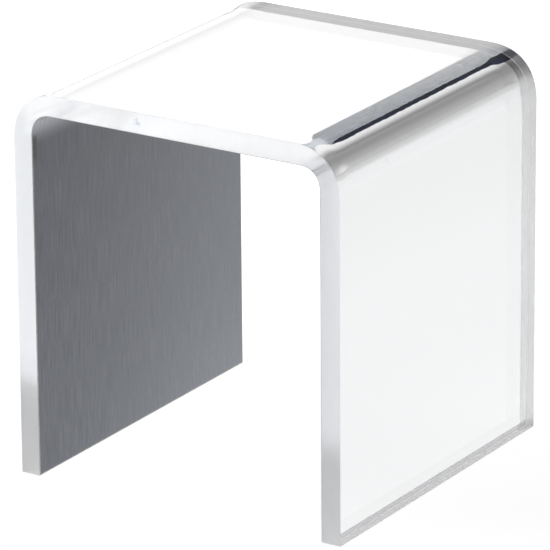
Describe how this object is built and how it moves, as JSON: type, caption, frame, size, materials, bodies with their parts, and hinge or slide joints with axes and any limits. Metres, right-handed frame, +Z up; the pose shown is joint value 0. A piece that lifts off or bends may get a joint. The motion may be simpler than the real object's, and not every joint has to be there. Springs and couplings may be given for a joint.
{
  "type": "display riser",
  "caption": "Open three-sided display riser bent from mirror-backed clear acrylic sheet, with a flat display top on two straight legs.",
  "frame": {"origin": "on the ground, at the middle of the footprint", "axes": "+Z up; +Y to the back, along the two bend lines; +X to the right, across the top"},
  "size_m": [0.102, 0.102, 0.1095],
  "materials": {
    "clear_acrylic": "clear cast acrylic, polished faces and edges",
    "mirror_metal": "bright vacuum-deposited metal film",
    "grey_coat": "grey satin protective coat with fine vertical streaks"
  },
  "bodies": {
    "root": {"acrylic_sheet": "clear_acrylic", "mirror_film": "mirror_metal", "backing_coat": "grey_coat"}
  },
  "joints": []
}
